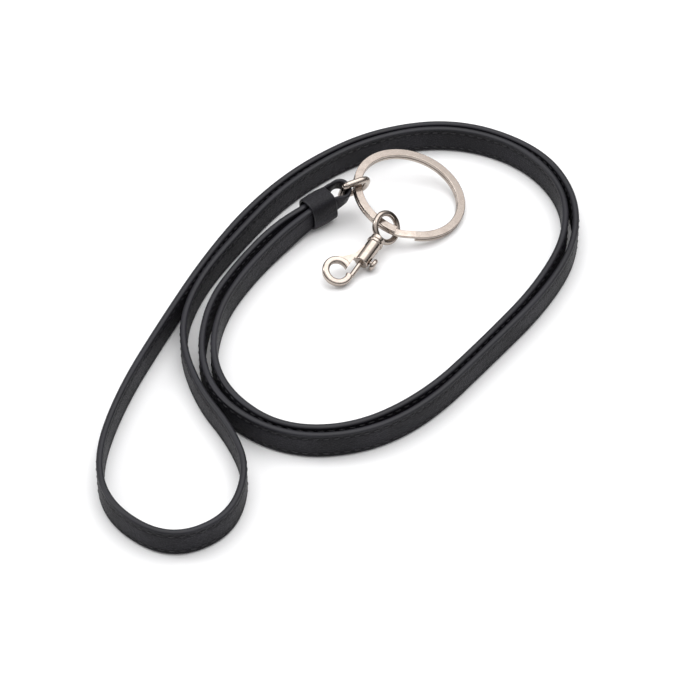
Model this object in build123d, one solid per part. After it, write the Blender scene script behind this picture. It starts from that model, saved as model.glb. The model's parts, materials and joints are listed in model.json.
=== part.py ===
from build123d import *
import math
import os

# Leather wristlet key holder: a long flat strap doubled into a loop, a leather keeper at its
# joined end, a D-shaped ring in a leather tab, a split key ring, and a swivel bolt snap.
# Millimetres. +Z is up, the strap stands on its edge on the ground plane Z = 0, and the
# origin is at the bottom centre of the whole piece.

# --- Strap ---------------------------------------------------------------------------------
STRAP_WIDTH = 10.0
LEATHER_THICKNESS = 0.8
CORE_THICKNESS = 0.6
STRAP_THICKNESS = 2 * LEATHER_THICKNESS + CORE_THICKNESS
TONGUE_WIDTH = 5.8
TONGUE_HEIGHT_ABOVE_GROUND = 3.3
# Fraction of the shorter neighbouring run that each bend of the strap's route takes up.
BEND_SHARE = 0.45

# The strap's route seen from above, from one end in the keeper, once round the outside of the
# loop, round the wrist end, and back on the inside to the other end in the keeper.
STRAP_ROUTE = [
    (-10.8, 56.6), (-25.0, 44.5), (-37.5, 25.0), (-47.0, 4.5), (-49.0, -21.0), (-40.5, -43.0),
    (-19.5, -57.5), (5.0, -56.0), (26.0, -42.5), (47.0, -15.0), (66.0, 10.5), (78.0, 35.5),
    (79.0, 61.5), (67.5, 85.5), (40.0, 100.5), (10.5, 95.5), (-14.0, 78.5), (-33.0, 56.0),
    (-48.0, 28.5), (-61.0, -2.5), (-74.0, -36.5), (-80.0, -66.5), (-74.5, -87.5),
    (-55.5, -101.5), (-37.0, -92.5), (-31.5, -72.0), (-37.0, -54.0), (-49.5, -33.5),
    (-56.0, -8.0), (-51.0, 16.0), (-37.0, 42.0), (-20.5, 67.5), (4.5, 89.5), (33.5, 98.0),
    (60.0, 88.0), (75.0, 65.5), (75.0, 39.5), (63.5, 13.5), (45.0, -12.5), (25.5, -37.5),
    (2.5, -53.0), (-21.0, -53.5), (-38.0, -39.0), (-45.0, -20.0), (-43.0, 2.5), (-34.5, 22.0),
    (-22.0, 41.0), (-9.5, 54.6),
]

# --- Keeper: a leather sleeve over the strap's two ends and the tab's two legs ---------------
KEEPER_MOUTH = (-14.3, 52.8, 6.2)
KEEPER_HEADING = 36.0
KEEPER_PITCH = 5.0
KEEPER_LENGTH = 10.0
KEEPER_WALL = 0.9
KEEPER_OUTER_WIDTH = 9.8
KEEPER_OUTER_HEIGHT = 12.0
KEEPER_CORNER = 4.0

# --- D-ring --------------------------------------------------------------------------------
DRING_WIRE = 2.4
DRING_BAR = 9.0
DRING_DEPTH = 9.1
DRING_INNER_BEND = 1.5
DRING_OUTER_BEND = 3.4
DRING_SEAM = 0.06
DRING_HEADING = 28.0
BAR_LEAN = 27.0
BAR_LEAN_HEADING = -66.0
BAND_TO_BAR = 5.4
BAND_ABOVE_BAR_MIDDLE = 1.1

# --- Leather tab round the D-ring's bar -----------------------------------------------------
TAB_WIDTH = 6.2
TAB_THICKNESS = 1.4
TAB_INNER_RADIUS = 2.7
TAB_CLEARANCE = 0.15
TAB_HEADING = 22.0
TAB_STRAIGHT = 0.8
TAB_LEG_WIDTH = 5.6
TAB_LEG_LENGTH = 4.0
TAB_LEG_OFFSET = 3.1

# --- Split ring ----------------------------------------------------------------------------
RING_OUTER_RADIUS = 20.2
RING_BAND = 2.9
RING_TURN = 1.05
RING_TURN_GAP = 0.2
RING_TURN_CORNER = 0.25
RING_CENTRE_XY = (21.2, 62.5)
RING_TILT = 17.0
RING_LOW_SIDE_HEADING = -24.0
RING_STEP_HEADING = -82.0
RING_STEP_ARC = 22.0
RING_STEP_SLICES = 6

# --- Bolt snap, in its own frame: X along the barrel, away from the eye -----------------------
SNAP_EYE = (13.1, 45.3, 6.9)
SNAP_HEADING = -121.9
SNAP_PITCH = 11.7
SNAP_ROLL = 25.0
EYE_RADIUS = 5.0
EYE_WIRE = 2.1
EYE_ROLL = 56.0
COLLAR_START = 5.2
COLLAR_END = 6.8
COLLAR_RADIUS = 2.6
NECK_RADIUS = 0.85
HEAD_RADIUS = 1.4
HEAD_START = 7.95
HEAD_END = 8.65
BARREL_START = 6.95
BARREL_END = 17.2
BARREL_RADIUS = 2.6
BARREL_RIM_RADIUS = 2.95
BARREL_RIM_LENGTH = 1.3
REAR_WALL = 0.95
FRONT_WALL = 1.2
BORE_RADIUS = 1.55
RUNNING_CLEARANCE = 0.05
BOLT_RADIUS = 0.9
BOLT_TIP = 23.55
PISTON_START = 13.9
PISTON_LENGTH = 2.0
BOLT_TRAVEL = 3.3
SLOT_WIDTH = 1.5
KNOB_STEM_RADIUS = 0.65
KNOB_POSITION = 14.9
KNOB_RADIUS = 2.2
KNOB_BASE = 3.1
KNOB_TOP = 4.7
KNOB_EDGE = 0.7
HOOK_CENTRE_X = 24.9
HOOK_CENTRE_Y = -4.7
HOOK_OUTER_RADIUS = 5.45
HOOK_INNER_RADIUS = 3.0
HOOK_THICKNESS = 2.5
HOOK_EDGE = 0.85
HOOK_TIP_X = 23.65
MOUTH_ABOVE_CENTRE = 1.9
SHOULDER_RADIUS = 11.0
WEB_THICKNESS = 2.3
SPRING_WIRE = 0.34
SPRING_COIL_RADIUS = 1.2
SPRING_TURNS = 5


def unit(vector):
    """The vector at length one."""
    return Vector(*vector).normalized()


def heading(degrees, pitch=0.0):
    """Direction with this compass angle from +X, climbing by the pitch."""
    flat = math.cos(math.radians(pitch))
    return Vector(
        math.cos(math.radians(degrees)) * flat,
        math.sin(math.radians(degrees)) * flat,
        math.sin(math.radians(pitch)),
    )


def across(direction, axis):
    """The direction with its share along the axis taken away, at length one."""
    return (direction - axis * direction.dot(axis)).normalized()


# --- Frames ----------------------------------------------------------------------------------
RING_AXIS = unit(
    (
        math.sin(math.radians(RING_TILT)) * math.cos(math.radians(RING_LOW_SIDE_HEADING)),
        math.sin(math.radians(RING_TILT)) * math.sin(math.radians(RING_LOW_SIDE_HEADING)),
        math.cos(math.radians(RING_TILT)),
    )
)
RING_HEIGHT = 2 * RING_TURN + RING_TURN_GAP
RING_CENTRE = Vector(
    *RING_CENTRE_XY,
    RING_OUTER_RADIUS * math.sin(math.radians(RING_TILT))
    + RING_HEIGHT / 2 * math.cos(math.radians(RING_TILT)),
)
RING_MEAN_RADIUS = RING_OUTER_RADIUS - RING_BAND / 2
RING_AT_DRING = RING_CENTRE + across(Vector(-1, 0, 0), RING_AXIS) * RING_MEAN_RADIUS
RING_TANGENT_AT_DRING = RING_AXIS.cross(across(Vector(-1, 0, 0), RING_AXIS))

BAR_AXIS = heading(BAR_LEAN_HEADING, 90 - BAR_LEAN)
DRING_OUT = across(heading(DRING_HEADING), BAR_AXIS)
BAR_MIDDLE = RING_AT_DRING - DRING_OUT * BAND_TO_BAR - BAR_AXIS * BAND_ABOVE_BAR_MIDDLE
DRING_FRAME = Plane(origin=BAR_MIDDLE, x_dir=DRING_OUT, z_dir=DRING_OUT.cross(BAR_AXIS))
TAB_FRAME = Plane(origin=BAR_MIDDLE, x_dir=across(heading(TAB_HEADING), BAR_AXIS), z_dir=BAR_AXIS)

KEEPER_OUT = heading(KEEPER_HEADING, KEEPER_PITCH)
# The keeper's frame has Z along the sleeve and Y close to upright.
KEEPER_FRAME = Plane(
    origin=KEEPER_MOUTH, x_dir=heading(KEEPER_HEADING - 90), z_dir=KEEPER_OUT
)

SNAP_OUT = heading(SNAP_HEADING, -SNAP_PITCH)
SNAP_LEVEL = Vector(0, 0, 1).cross(SNAP_OUT).normalized()
SNAP_UPRIGHT = SNAP_OUT.cross(SNAP_LEVEL)
SNAP_FACE = (
    SNAP_UPRIGHT * math.cos(math.radians(SNAP_ROLL))
    + SNAP_LEVEL * math.sin(math.radians(SNAP_ROLL))
)
SNAP_FRAME = Plane(origin=SNAP_EYE, x_dir=SNAP_OUT, z_dir=SNAP_FACE)


def bend_radii(points):
    """The largest even bend at each corner: BEND_SHARE of its shorter run, over tan(half turn)."""
    radii = []
    for before, corner, after in zip(points, points[1:], points[2:]):
        run_in = Vector(*corner) - Vector(*before)
        run_out = Vector(*after) - Vector(*corner)
        half_turn = math.radians(run_in.get_angle(run_out)) / 2
        radii.append(BEND_SHARE * min(run_in.length, run_out.length) / math.tan(half_turn))
    return radii


def side_path(offset):
    """The strap's route moved sideways by the offset, to the left of travel if positive."""
    points = [Vector(*p) for p in STRAP_ROUTE]
    radii = bend_radii(STRAP_ROUTE)
    moved = []
    sides = []
    for start, end in zip(points, points[1:]):
        run = (end - start).normalized()
        sides.append(Vector(-run.Y, run.X))
    moved.append(points[0] + sides[0] * offset)
    new_radii = []
    for index, radius in enumerate(radii):
        left_in, left_out = sides[index], sides[index + 1]
        corner_side = (left_in + left_out).normalized()
        moved.append(points[index + 1] + corner_side * (offset / corner_side.dot(left_in)))
        turns_left = left_in.X * left_out.Y - left_in.Y * left_out.X > 0
        new_radii.append(radius - offset if turns_left else radius + offset)
    moved.append(points[-1] + sides[-1] * offset)
    return FilletPolyline(*[(p.X, p.Y) for p in moved], radius=new_radii)


def strap_layer(inner_offset, outer_offset):
    """One layer of the strap: the band between two side paths, stood on its edge."""
    inner = side_path(inner_offset)
    outer = side_path(outer_offset)
    caps = [Line(inner @ 0, outer @ 0), Line(inner @ 1, outer @ 1)]
    outline = Wire(list(inner.edges()) + list(outer.edges()) + [c.edge() for c in caps])
    layer = extrude(make_face(outline.edges()), STRAP_WIDTH)
    # The two ends are cut down to narrow tongues where they enter the keeper.
    inside_keeper = KEEPER_FRAME.location * Pos(0, 0, KEEPER_LENGTH - 0.1) * Box(
        KEEPER_OUTER_WIDTH, 40, 2 * KEEPER_LENGTH
    )
    tongue_band = Pos(0, 0, TONGUE_HEIGHT_ABOVE_GROUND + TONGUE_WIDTH / 2) * Box(
        400, 400, TONGUE_WIDTH
    )
    return layer - (inside_keeper - tongue_band)


def keeper():
    """Oval leather sleeve, open at both ends."""
    outer = KEEPER_FRAME * RectangleRounded(
        KEEPER_OUTER_WIDTH, KEEPER_OUTER_HEIGHT, KEEPER_CORNER
    )
    inner = KEEPER_FRAME * RectangleRounded(
        KEEPER_OUTER_WIDTH - 2 * KEEPER_WALL,
        KEEPER_OUTER_HEIGHT - 2 * KEEPER_WALL,
        KEEPER_CORNER - KEEPER_WALL,
    )
    return extrude(outer - inner, KEEPER_LENGTH, dir=KEEPER_OUT)


def tab_leg(side):
    """One leg of the tab: flat in the keeper, then twisting into the loop's own plane."""
    in_keeper = Plane(
        origin=KEEPER_FRAME.from_local_coords(
            Vector(-side * TAB_LEG_OFFSET, 0, KEEPER_LENGTH - TAB_LEG_LENGTH)
        ),
        x_dir=KEEPER_FRAME.x_dir,
        z_dir=KEEPER_FRAME.z_dir,
    )
    leg_section = Rectangle(TAB_THICKNESS, TAB_LEG_WIDTH)
    leg_length = TAB_LEG_LENGTH
    leg = extrude(in_keeper * leg_section, leg_length, dir=KEEPER_OUT)
    leg_end = in_keeper.offset(leg_length) * leg_section
    loop_middle = TAB_INNER_RADIUS + TAB_THICKNESS / 2
    loop_start = Plane(
        origin=TAB_FRAME.from_local_coords(
            Vector(tab_bend_x() - TAB_STRAIGHT, side * loop_middle, 0)
        ),
        x_dir=-TAB_FRAME.y_dir,
        z_dir=TAB_FRAME.x_dir,
    ) * Rectangle(TAB_THICKNESS, TAB_WIDTH)
    twist = loft([leg_end, loop_start], ruled=True)
    return [leg, twist]


def tab_bend_x():
    """Where the tab's bend has its centre, along the tab's frame."""
    return DRING_WIRE / 2 + TAB_CLEARANCE - TAB_INNER_RADIUS


def end_tab():
    """Leather tab folded round the D-ring's bar, with its legs held in the keeper."""
    outer_radius = TAB_INNER_RADIUS + TAB_THICKNESS
    loop = Pos(tab_bend_x(), 0) * (Circle(outer_radius) - Circle(TAB_INNER_RADIUS))
    loop -= Pos(tab_bend_x() - outer_radius, 0) * Rectangle(2 * outer_radius, 3 * outer_radius)
    for side in (1, -1):
        middle = TAB_INNER_RADIUS + TAB_THICKNESS / 2
        loop += Pos(tab_bend_x() - TAB_STRAIGHT / 2, side * middle) * Rectangle(
            TAB_STRAIGHT, TAB_THICKNESS
        )
    body = extrude(TAB_FRAME.offset(-TAB_WIDTH / 2) * loop, TAB_WIDTH, dir=BAR_AXIS)
    for side in (1, -1):
        for piece in tab_leg(side):
            body += piece
    return body


def d_ring():
    """Bent wire ring: straight bar, two arms and a rounded outer side, butted at the bar."""
    half = DRING_BAR / 2
    corners = [
        (0, DRING_SEAM / 2), (0, half), (DRING_DEPTH, half), (DRING_DEPTH, -half), (0, -half),
        (0, -DRING_SEAM / 2),
    ]
    path = DRING_FRAME * FilletPolyline(
        *corners,
        radius=[DRING_INNER_BEND, DRING_OUTER_BEND, DRING_OUTER_BEND, DRING_INNER_BEND],
    )
    section = Plane(origin=path @ 0, z_dir=path % 0) * Circle(DRING_WIRE / 2)
    return sweep(section, path=path)


def turn_section(turned, level):
    """The flat spring steel's section, at this angle round the ring's own Z and this height."""
    section = RectangleRounded(RING_BAND, RING_TURN, RING_TURN_CORNER)
    return Rot(0, 0, turned) * Plane.XZ.location * Pos(RING_MEAN_RADIUS, level, 0) * section


def split_ring():
    """Two flat turns of one spring steel strip, joined by a short step."""
    lift = (RING_TURN + RING_TURN_GAP) / 2
    sweep_angle = 360 - RING_STEP_ARC
    ring = revolve(turn_section(0, -lift), Axis.Z, revolution_arc=sweep_angle)
    ring += revolve(turn_section(0, lift), Axis.Z, revolution_arc=sweep_angle)
    slices = []
    for index in range(RING_STEP_SLICES + 1):
        share = index / RING_STEP_SLICES
        eased = share * share * (3 - 2 * share)
        slices.append(turn_section(-RING_STEP_ARC * (1 - share), lift * (2 * eased - 1)))
    ring += loft(slices, ruled=True)
    toward_step = across(heading(RING_STEP_HEADING), RING_AXIS)
    return Plane(origin=RING_CENTRE, x_dir=toward_step, z_dir=RING_AXIS).location * ring


def along_snap(start, end, radius):
    """Cylinder on the snap's own X axis."""
    middle = (start + end) / 2
    return Pos(middle, 0, 0) * Rot(0, 90, 0) * Cylinder(radius, end - start)


def swivel_eye():
    """Cast eye with its collar and the headed neck that turns in the barrel's rear wall."""
    eye = Torus(EYE_RADIUS, EYE_WIRE / 2)
    collar = along_snap(COLLAR_START, COLLAR_END, COLLAR_RADIUS)
    collar = fillet(collar.edges().filter_by(GeomType.CIRCLE), 0.35)
    collar -= Cylinder(EYE_RADIUS - EYE_WIRE / 4, 4 * COLLAR_RADIUS)
    neck = along_snap(COLLAR_END - 0.2, HEAD_END, NECK_RADIUS)
    head = along_snap(HEAD_START, HEAD_END, HEAD_RADIUS)
    turned = Rot(SNAP_ROLL - EYE_ROLL, 0, 0)
    return SNAP_FRAME.location * turned * (eye + collar + neck + head)


def shoulder_outline():
    """Flat web that flares out of the barrel's side into the hook, hollow on its outer side."""
    circle_y = -BARREL_RADIUS - SHOULDER_RADIUS
    reach = HOOK_OUTER_RADIUS + SHOULDER_RADIUS
    circle_x = HOOK_CENTRE_X - math.sqrt(reach**2 - (circle_y - HOOK_CENTRE_Y) ** 2)
    share = SHOULDER_RADIUS / reach
    touch_x = circle_x + (HOOK_CENTRE_X - circle_x) * share
    touch_y = circle_y + (HOOK_CENTRE_Y - circle_y) * share
    web = make_face(
        Polyline(
            (circle_x, -BARREL_RADIUS + 0.8),
            (BARREL_END, -BARREL_RADIUS + 0.8),
            (HOOK_CENTRE_X, HOOK_CENTRE_Y),
            (touch_x, touch_y),
            (circle_x, circle_y),
            (circle_x, -BARREL_RADIUS + 0.8),
        ).edges()
    )
    web -= Pos(circle_x, circle_y) * Circle(SHOULDER_RADIUS)
    web -= Pos(HOOK_CENTRE_X, HOOK_CENTRE_Y) * Circle(HOOK_INNER_RADIUS + 0.5)
    return web


def hook_body():
    """Cast barrel and hook in one, bored for the bolt and slotted for the thumb knob."""
    hook_mean = (HOOK_OUTER_RADIUS + HOOK_INNER_RADIUS) / 2
    section = RectangleRounded(
        HOOK_OUTER_RADIUS - HOOK_INNER_RADIUS, HOOK_THICKNESS, HOOK_EDGE
    )
    ring = revolve(Plane.XZ * Pos(hook_mean, 0) * section, Axis.Z)
    hook = Pos(HOOK_CENTRE_X, HOOK_CENTRE_Y, 0) * ring
    hook += extrude(shoulder_outline(), WEB_THICKNESS / 2, both=True)
    # The mouth that the bolt closes: open from the barrel's end to the hook's tip.
    mouth_height = 2 * HOOK_OUTER_RADIUS
    mouth_low = HOOK_CENTRE_Y + MOUTH_ABOVE_CENTRE
    hook -= Pos((BARREL_END + HOOK_TIP_X) / 2, mouth_low + mouth_height / 2, 0) * Box(
        HOOK_TIP_X - BARREL_END, mouth_height, 2 * HOOK_THICKNESS
    )
    barrel = along_snap(BARREL_START, BARREL_END, BARREL_RADIUS)
    barrel = fillet(barrel.edges().filter_by(GeomType.CIRCLE), 0.4)
    rim = along_snap(BARREL_START, BARREL_START + BARREL_RIM_LENGTH, BARREL_RIM_RADIUS)
    barrel += fillet(rim.edges().filter_by(GeomType.CIRCLE), 0.4)
    body = hook + barrel
    bore_start = BARREL_START + REAR_WALL
    bore_end = BARREL_END - FRONT_WALL
    body -= along_snap(bore_start, bore_end, BORE_RADIUS)
    body -= along_snap(BARREL_START - 1, bore_start + 0.1, NECK_RADIUS + RUNNING_CLEARANCE)
    body -= along_snap(bore_end - 0.1, HOOK_TIP_X, BOLT_RADIUS + RUNNING_CLEARANCE)
    slot_start = KNOB_POSITION - BOLT_TRAVEL - KNOB_STEM_RADIUS - 0.1
    slot_end = KNOB_POSITION + KNOB_STEM_RADIUS + 0.1
    slot = Pos((slot_start + slot_end) / 2, BARREL_RADIUS, 0) * Box(
        slot_end - slot_start, 2 * (BARREL_RADIUS - BORE_RADIUS) + 1.0, SLOT_WIDTH
    )
    return SNAP_FRAME * (body - slot)


def bolt():
    """Sliding bolt: a piston in the barrel's bore and the rod that closes the hook's mouth."""
    piston = along_snap(PISTON_START, PISTON_START + PISTON_LENGTH, BORE_RADIUS - RUNNING_CLEARANCE)
    rod = along_snap(PISTON_START + PISTON_LENGTH - 0.1, BOLT_TIP, BOLT_RADIUS)
    rod = fillet(rod.edges().filter_by_position(Axis.X, BOLT_TIP - 0.01, BOLT_TIP + 0.01), 0.35)
    socket = Pos(KNOB_POSITION, BORE_RADIUS, 0) * Rot(90, 0, 0) * Cylinder(KNOB_STEM_RADIUS, 2.0)
    return SNAP_FRAME * (piston + rod - socket)


def thumb_knob():
    """Domed thumb knob, its stem pressed through the slot into the bolt."""
    stem_start = BORE_RADIUS - 1.0
    stem = Pos(KNOB_POSITION, (stem_start + KNOB_BASE + 0.2) / 2, 0) * Rot(90, 0, 0) * Cylinder(
        KNOB_STEM_RADIUS, KNOB_BASE + 0.2 - stem_start
    )
    cap = Pos(KNOB_POSITION, (KNOB_BASE + KNOB_TOP) / 2, 0) * Rot(90, 0, 0) * Cylinder(
        KNOB_RADIUS, KNOB_TOP - KNOB_BASE
    )
    cap = fillet(cap.edges().filter_by(GeomType.CIRCLE), KNOB_EDGE)
    return SNAP_FRAME * (stem + cap)


def bolt_spring():
    """Compression spring between the swivel's head and the bolt's piston."""
    length = PISTON_START - HEAD_END - 2 * RUNNING_CLEARANCE - SPRING_WIRE
    path = Helix(pitch=length / SPRING_TURNS, height=length, radius=SPRING_COIL_RADIUS)
    section = Plane(origin=path @ 0, z_dir=path % 0) * Circle(SPRING_WIRE / 2)
    coil = sweep(section, path=path, is_frenet=True)
    start = HEAD_END + RUNNING_CLEARANCE + SPRING_WIRE / 2
    return SNAP_FRAME * Pos(start, 0, 0) * Rot(0, 90, 0) * coil


def save(name, shape):
    """Write one node's STEP file."""
    shape.label = name
    export_step(shape, os.path.join("parts", name + ".step"))


os.makedirs("parts", exist_ok=True)

half_core = CORE_THICKNESS / 2
save("strap_core", strap_layer(-half_core, half_core))
save("strap_face_leather", strap_layer(-half_core - LEATHER_THICKNESS, -half_core))
save("strap_lining_leather", strap_layer(half_core, half_core + LEATHER_THICKNESS))
save("keeper", keeper())
save("end_tab", end_tab())
save("d_ring", d_ring())
save("split_ring", split_ring())
save("swivel_eye", swivel_eye())
save("hook_body", hook_body())
save("bolt", bolt())
save("thumb_knob", thumb_knob())
save("bolt_spring", bolt_spring())

route_length = side_path(0.0).length
core_solid = extrude(
    make_face(
        Wire(
            list(side_path(-half_core).edges())
            + list(side_path(half_core).edges())
            + [
                Line(side_path(-half_core) @ 0, side_path(half_core) @ 0).edge(),
                Line(side_path(-half_core) @ 1, side_path(half_core) @ 1).edge(),
            ]
        ).edges()
    ),
    STRAP_WIDTH,
)
print("strap length", round(route_length, 1))
print("bend radii", [round(radius, 1) for radius in bend_radii(STRAP_ROUTE)])
print(
    "core volume over section times length",
    round(core_solid.volume / (CORE_THICKNESS * STRAP_WIDTH * route_length), 4),
)
toward_eye = across(Vector(*SNAP_EYE) - RING_CENTRE, RING_AXIS)
ring_at_eye = RING_CENTRE + toward_eye * RING_MEAN_RADIUS
for label, place, axis in (
    ("d_ring_swing", BAR_MIDDLE, BAR_AXIS),
    ("split_ring_swing", RING_AT_DRING, RING_TANGENT_AT_DRING),
    ("snap_swivel", Vector(*SNAP_EYE), SNAP_OUT),
    ("snap_eye_swing", ring_at_eye, RING_AXIS.cross(toward_eye)),
    ("snap_hook", SNAP_FRAME.from_local_coords(Vector(HOOK_CENTRE_X, HOOK_CENTRE_Y, 0)), SNAP_FACE),
    ("split_ring_loop", RING_CENTRE, RING_AXIS),
):
    print(label, [round(v, 5) for v in place], [round(v, 6) for v in axis])
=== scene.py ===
"""Leather wristlet keychain: a flat stitched strap, its keeper and tab, two rings and a bolt snap."""

import json
import logging
import math
from dataclasses import dataclass
from enum import Enum

import bpy
import numpy as np
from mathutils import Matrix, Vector


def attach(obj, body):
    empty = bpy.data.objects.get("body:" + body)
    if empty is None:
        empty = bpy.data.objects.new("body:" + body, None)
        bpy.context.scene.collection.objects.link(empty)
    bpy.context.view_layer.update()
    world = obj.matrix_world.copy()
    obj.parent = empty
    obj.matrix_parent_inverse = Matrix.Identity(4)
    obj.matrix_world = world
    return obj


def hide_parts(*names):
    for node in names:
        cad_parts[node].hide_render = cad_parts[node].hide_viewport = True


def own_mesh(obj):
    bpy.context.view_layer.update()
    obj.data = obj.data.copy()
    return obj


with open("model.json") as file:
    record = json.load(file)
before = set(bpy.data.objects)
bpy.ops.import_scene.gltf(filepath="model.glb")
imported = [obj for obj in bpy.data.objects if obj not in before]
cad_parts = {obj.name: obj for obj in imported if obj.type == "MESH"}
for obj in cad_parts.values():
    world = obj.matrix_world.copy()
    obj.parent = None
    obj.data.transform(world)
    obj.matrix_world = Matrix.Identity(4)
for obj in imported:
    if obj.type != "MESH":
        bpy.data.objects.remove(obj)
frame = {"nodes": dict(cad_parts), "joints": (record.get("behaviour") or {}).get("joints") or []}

LOG = logging.getLogger("wristlet")
MM = 0.001


class Coords(Enum):
    """Which coordinates a finish's pattern is laid on."""

    OBJECT = "Object"
    UV = "UV"


# --- Vector helpers -----------------------------------------------------------------------------


def unit(vectors: np.ndarray) -> np.ndarray:
    """Each vector of the array at length one."""
    return vectors / np.maximum(np.linalg.norm(vectors, axis=-1, keepdims=True), 1e-12)


def heading(degrees: float, pitch: float = 0.0) -> np.ndarray:
    """Direction at this angle from +X, climbing by the pitch, both in degrees."""
    a, p = math.radians(degrees), math.radians(pitch)
    return np.array([math.cos(a) * math.cos(p), math.sin(a) * math.cos(p), math.sin(p)])


def across(direction: np.ndarray, axis: np.ndarray) -> np.ndarray:
    """The direction with its share along the axis taken away, at length one."""
    return unit(direction - axis * float(direction @ axis))


def smooth_step(value: np.ndarray) -> np.ndarray:
    """Ease from 0 to 1: three times the square less twice the cube, level at both ends."""
    held = np.clip(value, 0.0, 1.0)
    return held * held * (3.0 - 2.0 * held)


def arc_lengths(line: np.ndarray) -> np.ndarray:
    """Distance along the line to each of its points."""
    return np.concatenate([[0.0], np.cumsum(np.linalg.norm(np.diff(line, axis=0), axis=1))])


def evenly(line: np.ndarray, step: float) -> np.ndarray:
    """The line again, with its points this far apart.

    Args:
        line: Points along a line, one row each.
        step: Wanted distance between neighbours, in metres.

    Returns:
        The same line with evenly spaced points.
    """
    along = arc_lengths(line)
    at = np.linspace(0.0, along[-1], max(2, round(along[-1] / step) + 1))
    return np.stack([np.interp(at, along, line[:, k]) for k in range(line.shape[1])], axis=1)


def softened(line: np.ndarray, passes: int) -> np.ndarray:
    """The line with each inner point moved to the mean of itself and its neighbours, again and again."""
    eased = line.copy()
    for _ in range(passes):
        eased[1:-1] = (eased[:-2] + 2.0 * eased[1:-1] + eased[2:]) / 4.0
    return eased


# --- Mesh helpers -------------------------------------------------------------------------------


def enclosed(points: np.ndarray, corners: np.ndarray) -> float:
    """Six times the volume under the faces, each cut into a fan of triangles from its first corner.

    Args:
        points: Vertex positions, one row each.
        corners: Corner indices, one face per row, all with the same number of corners.

    Returns:
        The sum of the triple products, which is positive where the faces point outwards.
    """
    first = points[corners[:, :1]]
    turned = np.cross(points[corners[:, 1:-1]], points[corners[:, 2:]])
    return float(np.sum(first * turned))


def new_piece(name: str, points: np.ndarray, faces: np.ndarray, caps: np.ndarray | None = None) -> bpy.types.Object:
    """Make a smooth-shaded closed mesh object at the origin, with its faces pointing outwards.

    Args:
        name: The piece's name.
        points: Vertex positions in metres, one row each.
        faces: Corner indices, one quadrilateral per row.
        caps: Corner indices of the many-sided faces that shut the ends, one per row.

    Returns:
        The new object, linked to the scene.
    """
    groups = [faces] if caps is None else [faces, caps]
    if sum(enclosed(points, group) for group in groups) < 0.0:
        groups = [group[:, ::-1] for group in groups]
    mesh = bpy.data.meshes.new(name)
    mesh.from_pydata(points.tolist(), [], [face for group in groups for face in group.tolist()])
    mesh.update()
    mesh.shade_smooth()
    piece = bpy.data.objects.new(name, mesh)
    bpy.context.scene.collection.objects.link(piece)
    return piece


def grid_faces(rows: int, columns: int, around: bool, looped: bool = False) -> np.ndarray:
    """Corner indices of a grid of points, row by row.

    Args:
        rows: Number of rows of points.
        columns: Number of points in a row.
        around: True where the last column joins the first.
        looped: True where the last row joins the first.

    Returns:
        One row of four indices for each face.
    """
    last = columns if around else columns - 1
    i, j = np.meshgrid(np.arange(rows if looped else rows - 1), np.arange(last), indexing="ij")
    after, below = (j + 1) % columns, (i + 1) % rows
    corners = [i * columns + j, i * columns + after, below * columns + after, below * columns + j]
    return np.stack([c.ravel() for c in corners], axis=1)


def end_caps(rows: int, columns: int) -> np.ndarray:
    """Corner indices of the two faces that shut a tube made by grid_faces."""
    ring = np.arange(columns)
    return np.stack([ring[::-1], ring + (rows - 1) * columns])


def lay_uv(piece: bpy.types.Object, per_vertex: np.ndarray) -> None:
    """Give the piece a UV map from one pair of numbers for each vertex."""
    mesh = piece.data
    layer = mesh.uv_layers.new(name="surface")
    corners = np.empty(len(mesh.loops), dtype=np.int32)
    mesh.loops.foreach_get("vertex_index", corners)
    layer.data.foreach_set("uv", per_vertex[corners].astype(np.float32).ravel())


def mark(piece: bpy.types.Object, name: str, values: np.ndarray) -> None:
    """Give the piece one number for each vertex, for its material to read."""
    layer = piece.data.attributes.new(name, "FLOAT", "POINT")
    layer.data.foreach_set("value", values.astype(np.float32))


def face_materials(piece: bpy.types.Object, indices: np.ndarray) -> None:
    """Set each face's material slot number."""
    piece.data.polygons.foreach_set("material_index", indices.astype(np.int32))


# --- Shader helpers -----------------------------------------------------------------------------


class Nodes:
    """A node tree with short ways to add and join nodes."""

    def __init__(self, tree: bpy.types.NodeTree) -> None:
        """Wrap the tree."""
        self.tree = tree

    def add(self, kind: str, **settings: object) -> bpy.types.Node:
        """Add a node of this kind with these properties."""
        node = self.tree.nodes.new(kind)
        for key, value in settings.items():
            setattr(node, key, value)
        return node

    def feed(self, node: bpy.types.Node, socket: str | int, source: object) -> None:
        """Link a socket from another's output, or set its number or colour."""
        if isinstance(source, bpy.types.NodeSocket):
            self.tree.links.new(source, node.inputs[socket])
        else:
            node.inputs[socket].default_value = source

    def maths(self, operation: str, a: object, b: object = 0.0, clamp: bool = False) -> bpy.types.NodeSocket:
        """The result of one piece of arithmetic on two numbers."""
        node = self.add("ShaderNodeMath", operation=operation, use_clamp=clamp)
        self.feed(node, 0, a)
        self.feed(node, 1, b)
        return node.outputs[0]

    def span(self, value: object, low: float, high: float, start: float, end: float) -> bpy.types.NodeSocket:
        """The value carried from one span of numbers to another, held at the ends."""
        node = self.add("ShaderNodeMapRange")
        for socket, number in enumerate((value, low, high, start, end)):
            self.feed(node, socket, number)
        return node.outputs[0]

    def mix(self, factor: object, a: object, b: object) -> bpy.types.NodeSocket:
        """Two colours mixed."""
        node = self.add("ShaderNodeMix", data_type="RGBA")
        self.feed(node, 0, factor)
        self.feed(node, 6, a)
        self.feed(node, 7, b)
        return node.outputs[2]


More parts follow.
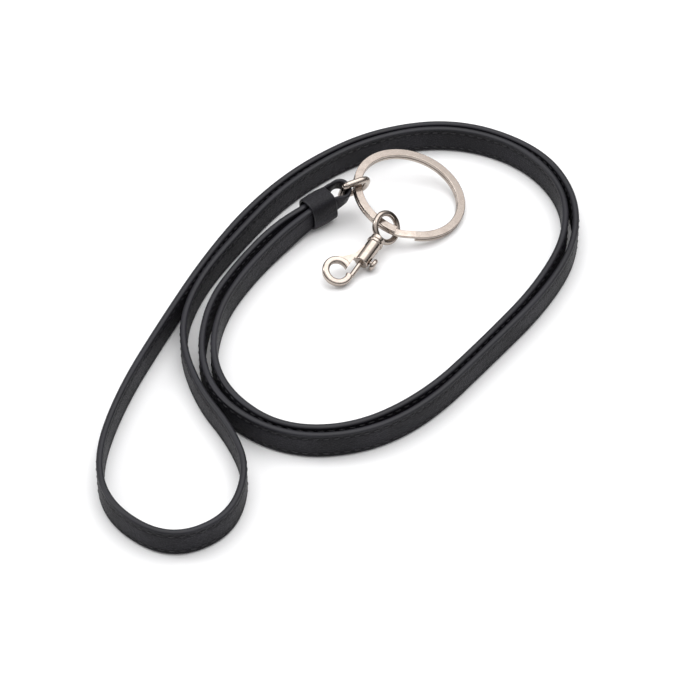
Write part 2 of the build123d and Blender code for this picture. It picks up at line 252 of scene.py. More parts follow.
def new_group(name: str, takes: dict[str, float | None], gives: tuple[str, ...]) -> tuple[Nodes, dict, bpy.types.Node]:
    """Start a shader node group.

    Args:
        name: The group's name.
        takes: Input names with their values, None for a vector.
        gives: Names of the number outputs.

    Returns:
        The group's nodes, its input sockets by name, and its output node.
    """
    tree = bpy.data.node_groups.new(name, "ShaderNodeTree")
    for label, value in takes.items():
        kind = "NodeSocketVector" if value is None else "NodeSocketFloat"
        socket = tree.interface.new_socket(name=label, in_out="INPUT", socket_type=kind)
        if value is not None:
            socket.default_value = value
    for label in gives:
        tree.interface.new_socket(name=label, in_out="OUTPUT", socket_type="NodeSocketFloat")
    nodes = Nodes(tree)
    inside = nodes.add("NodeGroupInput")
    return nodes, {s.name: s for s in inside.outputs if s.name}, nodes.add("NodeGroupOutput")


def pebble_grain_group() -> bpy.types.NodeTree:
    """Small rounded pebbles with creases between them, and finer pores on top.

    Returns:
        The group, which gives a height and a crease mask.
    """
    nodes, given, out = new_group("pebble_grain", {"Vector": None, "Pebbles per unit": 1.2}, ("Height", "Crease"))
    drift = nodes.add("ShaderNodeTexNoise")
    nodes.feed(drift, "Vector", given["Vector"])
    nodes.feed(drift, "Scale", nodes.maths("MULTIPLY", given["Pebbles per unit"], 0.6))
    push = nodes.add("ShaderNodeVectorMath", operation="MULTIPLY_ADD")
    nodes.feed(push, 0, drift.outputs["Color"])
    nodes.feed(push, 1, (0.45, 0.45, 0.45))
    nodes.feed(push, 2, given["Vector"])
    cells = nodes.add("ShaderNodeTexVoronoi", feature="DISTANCE_TO_EDGE")
    nodes.feed(cells, "Vector", push.outputs[0])
    nodes.feed(cells, "Scale", given["Pebbles per unit"])
    domes = nodes.span(cells.outputs["Distance"], 0.0, 0.35, 0.0, 1.0)
    eased = nodes.maths("POWER", domes, 0.6)
    pores = nodes.add("ShaderNodeTexNoise")
    nodes.feed(pores, "Vector", given["Vector"])
    nodes.feed(pores, "Scale", nodes.maths("MULTIPLY", given["Pebbles per unit"], 4.0))
    fine = nodes.maths("MULTIPLY", pores.outputs["Fac"], 0.35)
    nodes.feed(out, "Height", nodes.maths("ADD", eased, fine))
    nodes.feed(out, "Crease", nodes.span(cells.outputs["Distance"], 0.0, 0.12, 1.0, 0.0))
    return nodes.tree


def handling_wear_group() -> bpy.types.NodeTree:
    """Soft cloudy patches where a surface is handled, with short fine scuffs.

    Returns:
        The group, which gives a mask from 0 to 1.
    """
    nodes, given, out = new_group("handling_wear", {"Vector": None, "Patch scale": 0.05, "Scuff scale": 1.5}, ("Mask",))
    patch = nodes.add("ShaderNodeTexNoise")
    nodes.feed(patch, "Vector", given["Vector"])
    nodes.feed(patch, "Scale", given["Patch scale"])
    nodes.feed(patch, "Detail", 4.0)
    scuff = nodes.add("ShaderNodeTexNoise")
    nodes.feed(scuff, "Vector", given["Vector"])
    nodes.feed(scuff, "Scale", given["Scuff scale"])
    nodes.feed(scuff, "Detail", 6.0)
    clouds = nodes.span(patch.outputs["Fac"], 0.4, 0.7, 0.0, 1.0)
    specks = nodes.span(scuff.outputs["Fac"], 0.5, 0.75, 0.0, 1.0)
    nodes.feed(out, "Mask", nodes.maths("ADD", nodes.maths("MULTIPLY", clouds, 0.6), nodes.maths("MULTIPLY", specks, 0.4), clamp=True))
    return nodes.tree


@dataclass(frozen=True)
class Leather:
    """Black pebbled leather."""

    name: str
    coords: Coords
    colour: tuple[float, float, float, float] = (0.0068, 0.0064, 0.0092, 1.0)
    worn: tuple[float, float, float, float] = (0.026, 0.0245, 0.033, 1.0)
    pebbles: float = 1.1
    relief: float = 0.85
    roughness: float = 0.50
    specular: float = 0.24

    def make(self, grain: bpy.types.NodeTree, wear: bpy.types.NodeTree) -> bpy.types.Material:
        """Build the material.

        Args:
            grain: The pebble grain group.
            wear: The handling wear group.

        Returns:
            The finished material.
        """
        material = bpy.data.materials.new(self.name)
        material.use_nodes = True
        nodes = Nodes(material.node_tree)
        shader = material.node_tree.nodes["Principled BSDF"]
        place = nodes.add("ShaderNodeTexCoord")
        scaled = nodes.add("ShaderNodeMapping")
        nodes.feed(scaled, "Vector", place.outputs[self.coords.value])
        size = 1.0 if self.coords is Coords.UV else 1000.0
        nodes.feed(scaled, "Scale", (size, size, size))
        pebble = nodes.add("ShaderNodeGroup", node_tree=grain)
        nodes.feed(pebble, "Vector", scaled.outputs[0])
        nodes.feed(pebble, "Pebbles per unit", self.pebbles)
        worn = nodes.add("ShaderNodeGroup", node_tree=wear)
        nodes.feed(worn, "Vector", scaled.outputs[0])
        base = nodes.mix(worn.outputs["Mask"], self.colour, self.worn)
        # Painted shade: the creases between the pebbles are darkened towards near-black.
        crease_shaded = nodes.mix(nodes.maths("MULTIPLY", pebble.outputs["Crease"], 0.6), base, (0.0025, 0.0025, 0.003, 1.0))
        # Painted shade: near-black along the stitch grooves and along the crease where each face meets the edge, read
        # from a per-vertex mark.
        groove_shade = nodes.add("ShaderNodeAttribute", attribute_name="groove_shade")
        groove_shaded = nodes.mix(nodes.maths("MULTIPLY", groove_shade.outputs["Fac"], 0.8), crease_shaded, (0.0015, 0.0015, 0.002, 1.0))
        nodes.feed(shader, "Base Color", groove_shaded)
        nodes.feed(shader, "Specular IOR Level", self.specular)
        rough = nodes.span(worn.outputs["Mask"], 0.0, 1.0, self.roughness + 0.05, self.roughness - 0.06)
        nodes.feed(shader, "Roughness", nodes.maths("ADD", rough, nodes.maths("MULTIPLY", pebble.outputs["Crease"], 0.15)))
        bump = nodes.add("ShaderNodeBump")
        nodes.feed(bump, "Strength", self.relief)
        nodes.feed(bump, "Distance", 0.00016)
        nodes.feed(bump, "Height", pebble.outputs["Height"])
        nodes.feed(shader, "Normal", bump.outputs[0])
        return material


@dataclass(frozen=True)
class EdgePaint:
    """Smooth rubbery paint on a leather edge, with faint long ripples."""

    name: str
    coords: Coords
    colour: tuple[float, float, float, float] = (0.0095, 0.0092, 0.0125, 1.0)
    roughness: float = 0.40
    specular: float = 0.34

    def make(self, wear: bpy.types.NodeTree) -> bpy.types.Material:
        """Build the material from the wear group."""
        material = bpy.data.materials.new(self.name)
        material.use_nodes = True
        nodes = Nodes(material.node_tree)
        shader = material.node_tree.nodes["Principled BSDF"]
        place = nodes.add("ShaderNodeTexCoord")
        scaled = nodes.add("ShaderNodeMapping")
        nodes.feed(scaled, "Vector", place.outputs[self.coords.value])
        size = 1.0 if self.coords is Coords.UV else 1000.0
        nodes.feed(scaled, "Scale", (size, size, size))
        worn = nodes.add("ShaderNodeGroup", node_tree=wear)
        nodes.feed(worn, "Vector", scaled.outputs[0])
        nodes.feed(worn, "Scuff scale", 0.8)
        nodes.feed(shader, "Specular IOR Level", self.specular)
        nodes.feed(shader, "Base Color", nodes.mix(worn.outputs["Mask"], self.colour, tuple(2.0 * c for c in self.colour[:3]) + (1.0,)))
        nodes.feed(shader, "Roughness", nodes.span(worn.outputs["Mask"], 0.0, 1.0, self.roughness, self.roughness + 0.12))
        ripple = nodes.add("ShaderNodeTexNoise")
        nodes.feed(ripple, "Vector", scaled.outputs[0])
        nodes.feed(ripple, "Scale", 0.6)
        bump = nodes.add("ShaderNodeBump")
        nodes.feed(bump, "Strength", 0.35)
        nodes.feed(bump, "Distance", 0.0001)
        nodes.feed(bump, "Height", ripple.outputs["Fac"])
        nodes.feed(shader, "Normal", bump.outputs[0])
        return material


@dataclass(frozen=True)
class Thread:
    """Waxed black thread, twisted from a few plies."""

    name: str
    colour: tuple[float, float, float, float] = (0.008, 0.008, 0.010, 1.0)

    def make(self) -> bpy.types.Material:
        """Build the material."""
        material = bpy.data.materials.new(self.name)
        material.use_nodes = True
        nodes = Nodes(material.node_tree)
        shader = material.node_tree.nodes["Principled BSDF"]
        place = nodes.add("ShaderNodeTexCoord")
        plies = nodes.add("ShaderNodeTexWave", wave_type="BANDS", bands_direction="DIAGONAL")
        nodes.feed(plies, "Vector", place.outputs["Object"])
        nodes.feed(plies, "Scale", 900.0)
        nodes.feed(plies, "Distortion", 1.0)
        nodes.feed(shader, "Base Color", nodes.mix(plies.outputs["Fac"], self.colour, tuple(1.8 * c for c in self.colour[:3]) + (1.0,)))
        nodes.feed(shader, "Roughness", nodes.span(plies.outputs["Fac"], 0.0, 1.0, 0.55, 0.42))
        bump = nodes.add("ShaderNodeBump")
        nodes.feed(bump, "Strength", 0.4)
        nodes.feed(bump, "Distance", 0.00008)
        nodes.feed(bump, "Height", plies.outputs["Fac"])
        nodes.feed(shader, "Normal", bump.outputs[0])
        return material


@dataclass(frozen=True)
class Nickel:
    """Warm satin nickel plate with fine tumbling marks."""

    name: str
    colour: tuple[float, float, float, float] = (0.45, 0.392, 0.348, 1.0)
    dull: tuple[float, float, float, float] = (0.27, 0.222, 0.192, 1.0)
    roughness: float = 0.17

    def make(self, wear: bpy.types.NodeTree) -> bpy.types.Material:
        """Build the material from the wear group."""
        material = bpy.data.materials.new(self.name)
        material.use_nodes = True
        nodes = Nodes(material.node_tree)
        shader = material.node_tree.nodes["Principled BSDF"]
        nodes.feed(shader, "Metallic", 1.0)
        place = nodes.add("ShaderNodeTexCoord")
        scaled = nodes.add("ShaderNodeMapping")
        nodes.feed(scaled, "Vector", place.outputs["Object"])
        nodes.feed(scaled, "Scale", (1000.0, 1000.0, 1000.0))
        worn = nodes.add("ShaderNodeGroup", node_tree=wear)
        nodes.feed(worn, "Vector", scaled.outputs[0])
        nodes.feed(worn, "Patch scale", 0.35)
        nodes.feed(worn, "Scuff scale", 3.0)
        nodes.feed(shader, "Base Color", nodes.mix(nodes.maths("MULTIPLY", worn.outputs["Mask"], 0.6), self.colour, self.dull))
        nodes.feed(shader, "Roughness", nodes.span(worn.outputs["Mask"], 0.0, 1.0, self.roughness, self.roughness + 0.14))
        marks = nodes.add("ShaderNodeTexNoise")
        nodes.feed(marks, "Vector", scaled.outputs[0])
        nodes.feed(marks, "Scale", 6.0)
        nodes.feed(marks, "Detail", 5.0)
        bump = nodes.add("ShaderNodeBump")
        nodes.feed(bump, "Strength", 0.12)
        nodes.feed(bump, "Distance", 0.00004)
        nodes.feed(bump, "Height", marks.outputs["Fac"])
        nodes.feed(shader, "Normal", bump.outputs[0])
        return material


@dataclass
class Finishes:
    """Every material, made once."""

    strap_leather: bpy.types.Material
    strap_edge: bpy.types.Material
    small_leather: bpy.types.Material
    small_edge: bpy.types.Material
    thread: bpy.types.Material
    nickel: bpy.types.Material

    @classmethod
    def make(cls) -> "Finishes":
        """Build the shared groups and then the materials that use them."""
        grain, wear = pebble_grain_group(), handling_wear_group()
        return cls(
            strap_leather=Leather("strap_leather", Coords.UV).make(grain, wear),
            strap_edge=EdgePaint("strap_edge_paint", Coords.UV).make(wear),
            small_leather=Leather("keeper_leather", Coords.UV, relief=0.4, roughness=0.46).make(grain, wear),
            small_edge=EdgePaint("keeper_edge_paint", Coords.UV).make(wear),
            thread=Thread("waxed_thread").make(),
            nickel=Nickel("satin_nickel").make(wear),
        )


# --- Strap --------------------------------------------------------------------------------------


@dataclass
class Strap:
    """Flat stitched strap on its edge, from the keeper round the loop and back to the keeper."""

    width: float = 10.0 * MM
    thickness: float = 2.2 * MM
    edge_round: float = 0.75 * MM
    stitch_inset: float = 1.75 * MM
    groove: float = 0.22 * MM
    stitch_pitch: float = 3.3 * MM
    stitch_length: float = 2.5 * MM
    thread_radius: float = 0.26 * MM
    step: float = 1.25 * MM
    rise: float = 1.4 * MM
    rise_length: float = 34.0 * MM
    end_height: float = 0.86
    narrowing: float = 15.0 * MM

    def route(self) -> np.ndarray:
        """The route's control points as (x, y) in metres, from the keeper and back to it."""
        millimetres = [
            (-10.8, 56.6), (-25.0, 44.5), (-37.5, 25.0), (-47.0, 4.5), (-49.0, -21.0), (-40.5, -43.0),
            (-19.5, -57.5), (5.0, -56.0), (26.0, -42.5), (47.0, -15.0), (66.0, 10.5), (78.0, 35.5),
            (79.0, 61.5), (67.5, 85.5), (40.0, 100.5), (10.5, 95.5), (-14.0, 78.5), (-33.0, 56.0),
            (-48.0, 28.5), (-61.0, -2.5), (-74.0, -36.5), (-80.0, -66.5), (-74.5, -87.5),
            (-55.5, -101.5), (-37.0, -92.5), (-31.5, -72.0), (-37.0, -54.0), (-49.5, -33.5),
            (-56.0, -8.0), (-51.0, 16.0), (-37.0, 42.0), (-20.5, 67.5), (4.5, 89.5), (33.5, 98.0),
            (60.0, 88.0), (75.0, 65.5), (75.0, 39.5), (63.5, 13.5), (45.0, -12.5), (25.5, -37.5),
            (2.5, -53.0), (-21.0, -53.5), (-38.0, -39.0), (-45.0, -20.0), (-43.0, 2.5), (-34.5, 22.0),
            (-22.0, 41.0), (-9.5, 54.6),
        ]
        return np.array(millimetres) * MM

    def centreline(self) -> np.ndarray:
        """Points along the strap's middle, read from a smooth spline through the route.

        Returns:
            Evenly spaced points; the height eases up by the rise at both ends, into the keeper.
        """
        flat = self.route()
        curve = bpy.data.curves.new("strap_route", "CURVE")
        curve.dimensions = "3D"
        curve.resolution_u = 24
        spline = curve.splines.new("NURBS")
        spline.points.add(len(flat) - 1)
        level = np.full(len(flat), self.width / 2.0)
        spline.points.foreach_set("co", np.column_stack([flat, level, np.ones(len(flat))]).ravel())
        spline.order_u = 3
        spline.use_endpoint_u = True
        holder = bpy.data.objects.new("strap_route", curve)
        mesh = bpy.data.meshes.new_from_object(holder)
        points = np.empty(len(mesh.vertices) * 3)
        mesh.vertices.foreach_get("co", points)
        bpy.data.meshes.remove(mesh)
        bpy.data.objects.remove(holder)
        bpy.data.curves.remove(curve)
        line = evenly(points.reshape(-1, 3), self.step)
        along = arc_lengths(line)
        near_end = np.minimum(along, along[-1] - along)
        line[:, 2] += self.rise * (1.0 - smooth_step(near_end / self.rise_length))
        return line

    @staticmethod
    def sideways(line: np.ndarray) -> np.ndarray:
        """Level direction to the left of travel at each point of the line."""
        travel = unit(np.gradient(line[:, :2], axis=0))
        return np.column_stack([-travel[:, 1], travel[:, 0], np.zeros(len(line))])

    def half_thickness(self, height: np.ndarray) -> np.ndarray:
        """Half the thickness at a height from the middle.

        The faces are flat with a shallow bell-shaped groove along each row of stitches, and close in
        a quarter ellipse over the last part towards each edge.
        """
        half = self.width / 2.0
        reach = np.clip((np.abs(height) - (half - self.edge_round)) / self.edge_round, 0.0, 1.0)
        closing = np.sqrt(np.maximum(1.0 - reach**2, 0.0))
        return (self.thickness / 2.0) * closing - self.groove * self.dip(height) * (reach < 1.0)

    def dip(self, height: np.ndarray) -> np.ndarray:
        """Bell shape, one on each row of stitches, with its middle at the stitches and 1 there."""
        return np.exp(-(((np.abs(height) - (self.width / 2.0 - self.stitch_inset)) / (0.45 * MM)) ** 2))

    def height_share(self, line: np.ndarray) -> np.ndarray:
        """The band's height at each point, as a share of its full width, eased in at both ends."""
        along = arc_lengths(line)
        near_end = np.minimum(along, along[-1] - along)
        return self.end_height + (1.0 - self.end_height) * smooth_step(near_end / self.narrowing - 0.3)

    def section(self) -> tuple[np.ndarray, np.ndarray]:
        """The closed outline of the band's section.

        Returns:
            Pairs of (sideways, height) in metres going once round, and True for each point on an edge.
        """
        half = self.width / 2.0
        inner = np.linspace(-(half - self.edge_round), half - self.edge_round, 33)
        turn = np.linspace(0.0, math.pi / 2.0, 6)[1:]
        cap = half - self.edge_round + self.edge_round * np.sin(turn)
        heights = np.concatenate([-cap[::-1], inner, cap])
        sides = self.half_thickness(heights)
        left = np.column_stack([sides, heights])
        right = np.column_stack([-sides[::-1], heights[::-1]])[1:-1]
        outline = np.concatenate([left, right])
        return outline, np.abs(outline[:, 1]) > half - self.edge_round * 1.02

    def build(self, finishes: Finishes) -> list[bpy.types.Object]:
        """Args:
            finishes: The materials.

        Returns:
            The band and the stitches.
        """
        line = self.centreline()
        left = self.sideways(line)
        outline, on_edge = self.section()
        up = np.array([0.0, 0.0, 1.0])
        points = (
            line[:, None, :]
            + left[:, None, :] * outline[None, :, 0, None]
            + up * outline[None, :, 1, None] * self.height_share(line)[:, None, None]
        )
        rows, columns = points.shape[:2]
        faces = grid_faces(rows, columns, around=True)
        band = new_piece("strap_band", points.reshape(-1, 3), faces, end_caps(rows, columns))
        along = arc_lengths(line) / MM
        girth = np.concatenate([[0.0], np.cumsum(np.linalg.norm(np.diff(outline, axis=0), axis=1))]) / MM
        lay_uv(band, np.stack(np.meshgrid(along, girth, indexing="ij"), axis=-1).reshape(-1, 2))
        # Painted shade mark: strongest in the stitch grooves and along the crease where each face meets the painted
        # edge.
        brink = self.width / 2.0 - self.edge_round * 1.02
        crease = np.exp(-(((np.abs(outline[:, 1]) - brink) / (0.30 * MM)) ** 2))
        mark(band, "groove_shade", np.tile(np.clip(0.75 * self.dip(outline[:, 1]) + crease, 0.0, 1.0), rows))
        band.data.materials.append(finishes.strap_leather)
        band.data.materials.append(finishes.strap_edge)
        edge_face = on_edge & np.roll(on_edge, -1)
        face_materials(band, np.append(np.tile(edge_face, rows - 1), [True, True]))
        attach(band, "strap")
        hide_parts("strap_face_leather", "strap_core", "strap_lining_leather")
        stitches = self.stitches(line, left, finishes)
        return [band, stitches]

    def stitches(self, line: np.ndarray, left: np.ndarray, finishes: Finishes) -> bpy.types.Object:
        """Rows of short stitches along both edges of both faces.

        Each stitch is a spindle: a ring of points round the thread's line, whose radius falls to
        nothing at both ends and whose line dips into the leather there.

        Args:
            line: The strap's middle line.
            left: Level direction to the left at each of its points.
            finishes: The materials.

        Returns:
            One object holding every stitch.
        """
        along = arc_lengths(line)
        start = 22.0 * MM
        count = int((along[-1] - 2.0 * start) / self.stitch_pitch)
        middles = start + self.stitch_pitch * (np.arange(count) + 0.5)
        share = np.linspace(-1.0, 1.0, 7)
        sides = 6
        turn = np.linspace(0.0, 2.0 * math.pi, sides, endpoint=False)
        radius = self.thread_radius * np.sqrt(np.maximum(1.0 - share**4, 0.02))
        sink = -0.10 * MM - 0.34 * MM * np.abs(share) ** 3
        at = middles[:, None] + share[None, :] * self.stitch_length / 2.0
        centre = np.stack([np.interp(at, along, line[:, k]) for k in range(3)], axis=-1)
        side = unit(np.stack([np.interp(at, along, left[:, k]) for k in range(3)], axis=-1))
        up = np.array([0.0, 0.0, 1.0])
        inset = self.width / 2.0 - self.stitch_inset
        bodies = []
        for face in (1.0, -1.0):
            for row in (1.0, -1.0):
                slant = share * 0.10 * MM * row
                spine = (
                    centre
                    + side * (face * (self.thickness / 2.0 + sink))[None, :, None]
                    + up * (row * inset + slant)[None, :, None]
                )
                ring = (
                    side[:, :, None, :] * (radius[:, None] * np.cos(turn))[None, :, :, None] * face
                    + up * (radius[:, None] * np.sin(turn))[None, :, :, None]
                )
                bodies.append(spine[:, :, None, :] + ring)
        stacked = np.concatenate(bodies)
        each = len(share) * sides
        pattern = grid_faces(len(share), sides, around=True)
        lid = np.array([[0, 1, 2, 3], [0, 3, 4, 5]])
        shut = np.concatenate([pattern, lid[:, ::-1], lid + (len(share) - 1) * sides])
        faces = (shut[None] + (np.arange(len(stacked)) * each)[:, None, None]).reshape(-1, 4)
        mirrored = np.arange(len(stacked)) >= len(stacked) // 2
        flip = np.repeat(mirrored, len(shut))
        faces[~flip] = faces[~flip][:, ::-1]
        piece = new_piece("strap_stitches", stacked.reshape(-1, 3), faces)
        piece.data.materials.append(finishes.thread)
        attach(piece, "strap")
        return piece


# --- Keeper and tab -----------------------------------------------------------------------------


@dataclass
class Keeper:
    """Leather sleeve round the strap's two ends, open at both ends, with painted rims."""

    mouth: tuple[float, float, float] = (-14.3, 52.8, 6.2)
    heading: float = 36.0
    pitch: float = 5.0
    length: float = 10.0 * MM
    half_width: float = 4.95 * MM
    half_height: float = 6.0 * MM
    wall: float = 0.9 * MM
    squareness: float = 2.6
    far_squareness: float = 3.4
    pinch: float = 0.05
    swell: float = 0.15 * MM

    def axes(self) -> tuple[np.ndarray, np.ndarray, np.ndarray]:
        """Sideways, upright and lengthways directions of the sleeve."""
        out = heading(self.heading, self.pitch)
        side = heading(self.heading - 90.0)
        return side, np.cross(side, out), out

    def place(self, side: float, upright: float, along: float) -> np.ndarray:
        """A point given in the sleeve's own directions, in metres."""
        x, y, z = self.axes()
        return np.array(self.mouth) * MM + x * side + y * upright + z * along

    def wall_outline(self) -> tuple[np.ndarray, np.ndarray, np.ndarray]:
        """The wall's own closed outline, from outside, round the far rim, inside and round the near rim.

        Returns:
            Distance along the sleeve, depth into the wall from 0 to 1, and True on the rims.
        """
        end = self.wall / 2.0
        run = np.linspace(end, self.length - end, 26)
        turn = np.linspace(0.0, math.pi, 9)[1:-1]
        rim = self.length - end + end * np.sin(turn)
        depth = 0.5 - 0.5 * np.cos(turn)
        along = np.concatenate([run, rim, run[::-1], self.length - rim])
        deep = np.concatenate([np.zeros(26), depth, np.ones(26), depth[::-1]])
        return along, deep, np.concatenate([np.zeros(26), np.ones(7), np.zeros(26), np.ones(7)]) > 0

    def build(self, finishes: Finishes) -> bpy.types.Object:
        """Build and dress the sleeve.

        The section is a superellipse: each of its two coordinates is a half size times the signed power
        of a cosine or a sine. Both half sizes fall a little towards the tab, and swell mid-length.

        Args:
            finishes: The materials.

        Returns:
            The sleeve.
        """
        along, deep, on_rim = self.wall_outline()
        turn = np.linspace(0.0, 2.0 * math.pi, 96, endpoint=False)
        share = along / self.length
        power = 2.0 / (self.squareness + (self.far_squareness - self.squareness) * smooth_step(share))[:, None]
        wide = np.sign(np.cos(turn)) * np.abs(np.cos(turn)) ** power
        tall = np.sign(np.sin(turn)) * np.abs(np.sin(turn)) ** power
        size = 1.0 - self.pinch * smooth_step(share) ** 2
        bulge = self.swell * np.sin(math.pi * share) * (1.0 - deep)
        half_x = self.half_width * size + bulge - self.swell - self.wall * deep
        half_y = self.half_height * size + bulge - self.swell - self.wall * deep
        side, upright, out = self.axes()
        points = (
            np.array(self.mouth) * MM
            + side * (half_x[:, None] * wide)[..., None]
            + upright * (half_y[:, None] * tall)[..., None]
            + out * along[:, None, None]
        )
        rows, columns = points.shape[:2]
        sleeve = new_piece("keeper_sleeve", points.reshape(-1, 3), grid_faces(rows, columns, True, True))
        girth = turn * self.half_width / MM
        lay_uv(sleeve, np.stack(np.meshgrid(along / MM, girth, indexing="ij"), axis=-1).reshape(-1, 2))
        sleeve.data.materials.append(finishes.small_leather)
        sleeve.data.materials.append(finishes.small_edge)
        face_materials(sleeve, np.repeat(on_rim | np.roll(on_rim, -1), columns))
        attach(sleeve, "strap")
        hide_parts("keeper")
        return sleeve


@dataclass
class EndTab:
    """Leather tab folded round the D-ring's bar, with both legs inside the keeper."""

    keeper: Keeper
    width: float = 6.4 * MM
    leg_width: float = 6.2 * MM
    thickness: float = 1.4 * MM
    inner_radius: float = 2.7 * MM
    clearance: float = 0.15 * MM
    bar_radius: float = 1.2 * MM
    straight: float = 0.8 * MM
    leg_length: float = 4.6 * MM
    leg_offset: float = 3.05 * MM
    far_climb: float = 1.9 * MM
    near_climb: float = 1.3 * MM
    heading: float = 22.0
    edge_round: float = 0.6 * MM

    def bar(self) -> tuple[np.ndarray, np.ndarray]:
        """The middle of the D-ring's bar and its direction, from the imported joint."""
        joint = next(j for j in frame["joints"] if j["name"] == "d_ring_swing")
        return np.array(joint["pos_m"], float), unit(np.array(joint["axis"], float))

    def spine(self) -> tuple[np.ndarray, np.ndarray, np.ndarray]:
        """The tab's middle line, the direction of its width at each point, and its width there.

        One leg leaves the keeper, turns from the keeper's upright to the bar's direction, goes half a
        circle round the bar, and comes back as the other leg.

        Returns:
            Points, unit directions and widths, one row each.
        """
        middle, bar_axis = self.bar()
        _, upright, _ = self.keeper.axes()
        ahead = across(heading(self.heading), bar_axis)
        aside = np.cross(bar_axis, ahead)
        bend = middle + ahead * (self.bar_radius + self.clearance - self.inner_radius)
        radius = self.inner_radius + self.thickness / 2.0
        legs = []
        for side, climb in ((1.0, self.far_climb), (-1.0, self.near_climb)):
            inside = self.keeper.length - self.leg_length
            held = [
                self.keeper.place(-side * self.leg_offset, climb * k / 4.0, inside + self.leg_length * k / 4.0)
                for k in range(5)
            ]
            loop_start = bend - ahead * self.straight + aside * side * radius
            legs.append(np.array(held + [loop_start]))
        turn = np.linspace(math.pi / 2.0, -math.pi / 2.0, 33)
        arc = bend + radius * (np.cos(turn)[:, None] * ahead + np.sin(turn)[:, None] * aside)
        line = evenly(np.concatenate([legs[0], arc, legs[1][::-1]]), 0.3 * MM)
        line = softened(line, 24)
        along = arc_lengths(line)
        near_end = np.minimum(along, along[-1] - along)
        turned = smooth_step((near_end - self.leg_length * 0.8) / (5.5 * MM))
        direction = unit(upright * (1.0 - turned)[:, None] + bar_axis * turned[:, None])
        opened = smooth_step((near_end - self.leg_length * 0.85) / (3.0 * MM))
        width = self.leg_width + (self.width - self.leg_width) * opened
        return line, direction, width

    def build(self, finishes: Finishes) -> bpy.types.Object:
        """Build and dress the tab: a rounded strip section carried along the spine.

        Args:
            finishes: The materials.

        Returns:
            The tab.
        """
        line, wide, width = self.spine()
        travel = unit(np.gradient(line, axis=0))
        thick = unit(np.cross(travel, wide))
        flat = np.linspace(-1.0, 1.0, 17)
        turn = np.linspace(0.0, math.pi, 9)[1:-1]
        half = self.thickness / 2.0
        run = np.concatenate([flat, np.ones(7), flat[::-1], -np.ones(7)])
        beyond = np.concatenate([np.zeros(17), np.sin(turn), np.zeros(17), -np.sin(turn)]) * self.edge_round
        depth = np.concatenate([np.ones(17), np.cos(turn), -np.ones(17), -np.cos(turn)]) * half
        reach = run[None, :] * (width[:, None] / 2.0 - self.edge_round) + beyond[None, :]
        points = line[:, None, :] + wide[:, None, :] * reach[..., None] + thick[:, None, :] * depth[None, :, None]
        rows, columns = points.shape[:2]
        faces = grid_faces(rows, columns, around=True)
        tab = new_piece("tab_loop", points.reshape(-1, 3), faces, end_caps(rows, columns))
        girth = np.concatenate([[0.0], np.cumsum(np.hypot(np.diff(run) * self.width / 2.0, np.diff(depth)))]) / MM
        lay_uv(tab, np.stack(np.meshgrid(arc_lengths(line) / MM, girth, indexing="ij"), axis=-1).reshape(-1, 2))
        tab.data.materials.append(finishes.small_leather)
        tab.data.materials.append(finishes.small_edge)
        on_edge = np.abs(beyond) > 0
        edge_face = np.tile(on_edge | np.roll(on_edge, -1), rows - 1)
        face_materials(tab, np.append(edge_face, [True, True]))
        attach(tab, "strap")
        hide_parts("end_tab")
        return tab


@dataclass
class BarrelSpring:
    """Compression spring in the bolt snap's barrel, between the swivel's head and the piston."""

    wire: float = 0.34 * MM
    coil_radius: float = 1.2 * MM
    turns: int = 5
    fixed_end: float = 8.72 * MM
    free_end: float = 13.83 * MM
    travel: float = 3.3 * MM

    def build(self, finishes: Finishes) -> bpy.types.Object:
        """Build and dress the spring.

        The wire's middle is a helix: it goes round the barrel's axis as it moves along it. A ring of
        six points is carried along it, and both ends are shut.

        Args:
            finishes: The materials.

        Returns:
            The spring.
        """
        swivel = next(j for j in frame["joints"] if j["name"] == "snap_swivel")
        eye, out = np.array(swivel["pos_m"], float), unit(np.array(swivel["axis"], float))
        level = across(np.array([0.0, 0.0, 1.0]), out)
        aside = np.cross(out, level)
        turn = np.linspace(0.0, 2.0 * math.pi * self.turns, 24 * self.turns + 1)
        low, high = self.fixed_end + self.wire / 2.0, self.free_end - self.wire / 2.0
        along = np.linspace(low, high, len(turn))
        spoke = np.cos(turn)[:, None] * level + np.sin(turn)[:, None] * aside
        line = eye + out * along[:, None] + self.coil_radius * spoke
        ahead = unit(np.gradient(line, axis=0))
        third = np.cross(ahead, spoke)
        ring = np.linspace(0.0, 2.0 * math.pi, 6, endpoint=False)
        points = line[:, None] + self.wire / 2.0 * (
            np.cos(ring)[None, :, None] * spoke[:, None] + np.sin(ring)[None, :, None] * third[:, None]
        )
        faces = grid_faces(len(turn), 6, around=True)
        spring = new_piece("barrel_spring", points.reshape(-1, 3), faces, end_caps(len(turn), 6))
        spring.data.materials.append(finishes.nickel)
        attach(spring, "snap_hook")
        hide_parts("bolt_spring")
        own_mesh(spring)
        return spring


# --- Stage --------------------------------------------------------------------------------------


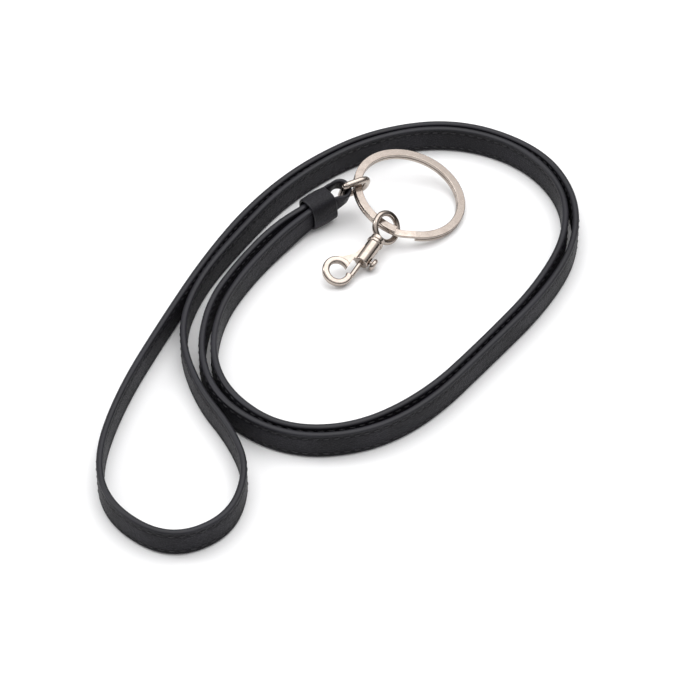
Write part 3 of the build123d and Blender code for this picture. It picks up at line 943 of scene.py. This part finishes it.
@dataclass
class Studio:
    """Pale floor, soft lights and the camera."""

    target: tuple[float, float, float] = (0.0006, -0.0082, 0.0)
    eye: tuple[float, float, float] = (0.0006, -0.7024, 0.6703)
    lens: float = 149.1
    floor_half: float = 3.0
    sky: float = 1.3
    key: float = 6.2
    fill: float = 2.2

    def build(self) -> None:
        """Make the floor, the lights and the camera."""
        half = self.floor_half
        corners = np.array([[-half, -half, 0.0], [half, -half, 0.0], [half, half, 0.0], [-half, half, 0.0]])
        floor = new_piece("floor", corners - np.array([0.0, 0.0, 0.0002]), np.array([[0, 1, 2, 3]]))
        paper = bpy.data.materials.new("pale_paper")
        paper.use_nodes = True
        shader = paper.node_tree.nodes["Principled BSDF"]
        shader.inputs["Base Color"].default_value = (0.93, 0.93, 0.93, 1.0)
        shader.inputs["Roughness"].default_value = 0.9
        floor.data.materials.append(paper)
        world = bpy.data.worlds.new("studio")
        world.use_nodes = True
        nodes = Nodes(world.node_tree)
        sky = nodes.add("ShaderNodeTexCoord")
        parts = nodes.add("ShaderNodeSeparateXYZ")
        nodes.feed(parts, 0, sky.outputs["Generated"])
        shade = nodes.span(parts.outputs["Z"], 0.2, 0.8, 0.0, 1.0)
        warm = nodes.mix(shade, (0.03, 0.026, 0.023, 1.0), (0.88, 0.88, 0.89, 1.0))
        background = world.node_tree.nodes["Background"]
        nodes.feed(background, 0, warm)
        nodes.feed(background, 1, self.sky)
        bpy.context.scene.world = world
        bpy.context.scene.view_settings.view_transform = "Standard"
        self.lamp("key", (0.14, 0.24, 0.92), 1.1, self.key)
        self.lamp("left_window", (-0.8, 0.15, 0.6), 0.35, self.fill)
        camera = bpy.data.objects.new("camera", bpy.data.cameras.new("camera"))
        camera.location = self.eye
        aim = Vector(self.target) - Vector(self.eye)
        camera.rotation_mode = "QUATERNION"
        camera.rotation_quaternion = aim.to_track_quat("-Z", "Y")
        camera.data.lens = self.lens
        camera.data.sensor_width = 36.0
        camera.data.clip_start = 0.01
        camera.data.clip_end = 20.0
        bpy.context.scene.collection.objects.link(camera)
        bpy.context.scene.camera = camera

    @staticmethod
    def lamp(name: str, place: tuple[float, float, float], size: float, power: float) -> None:
        """Add a square soft light aimed at the middle of the object."""
        light = bpy.data.lights.new(name, "AREA")
        light.size = size
        light.energy = power
        holder = bpy.data.objects.new(name, light)
        holder.location = place
        holder.rotation_mode = "QUATERNION"
        holder.rotation_quaternion = (-Vector(place)).to_track_quat("-Z", "Y")
        bpy.context.scene.collection.objects.link(holder)


def dress_metal(finishes: Finishes) -> None:
    """Give every metal node its plate."""
    for name in ("d_ring", "split_ring", "swivel_eye", "hook_body", "bolt", "thumb_knob"):
        slots = frame["nodes"][name].material_slots
        for slot in slots:
            slot.link = "OBJECT"
            slot.material = finishes.nickel


def main() -> None:
    """Build every sub-assembly in order."""
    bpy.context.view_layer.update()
    finishes = Finishes.make()
    for piece in Strap().build(finishes):
        LOG.info("built %s with %d faces", piece.name, len(piece.data.polygons))
    keeper = Keeper()
    for piece in (keeper.build(finishes), EndTab(keeper).build(finishes), BarrelSpring().build(finishes)):
        LOG.info("built %s with %d faces", piece.name, len(piece.data.polygons))
    dress_metal(finishes)
    Studio().build()


if __name__ == "__main__":
    logging.basicConfig(level=logging.INFO)
    main()
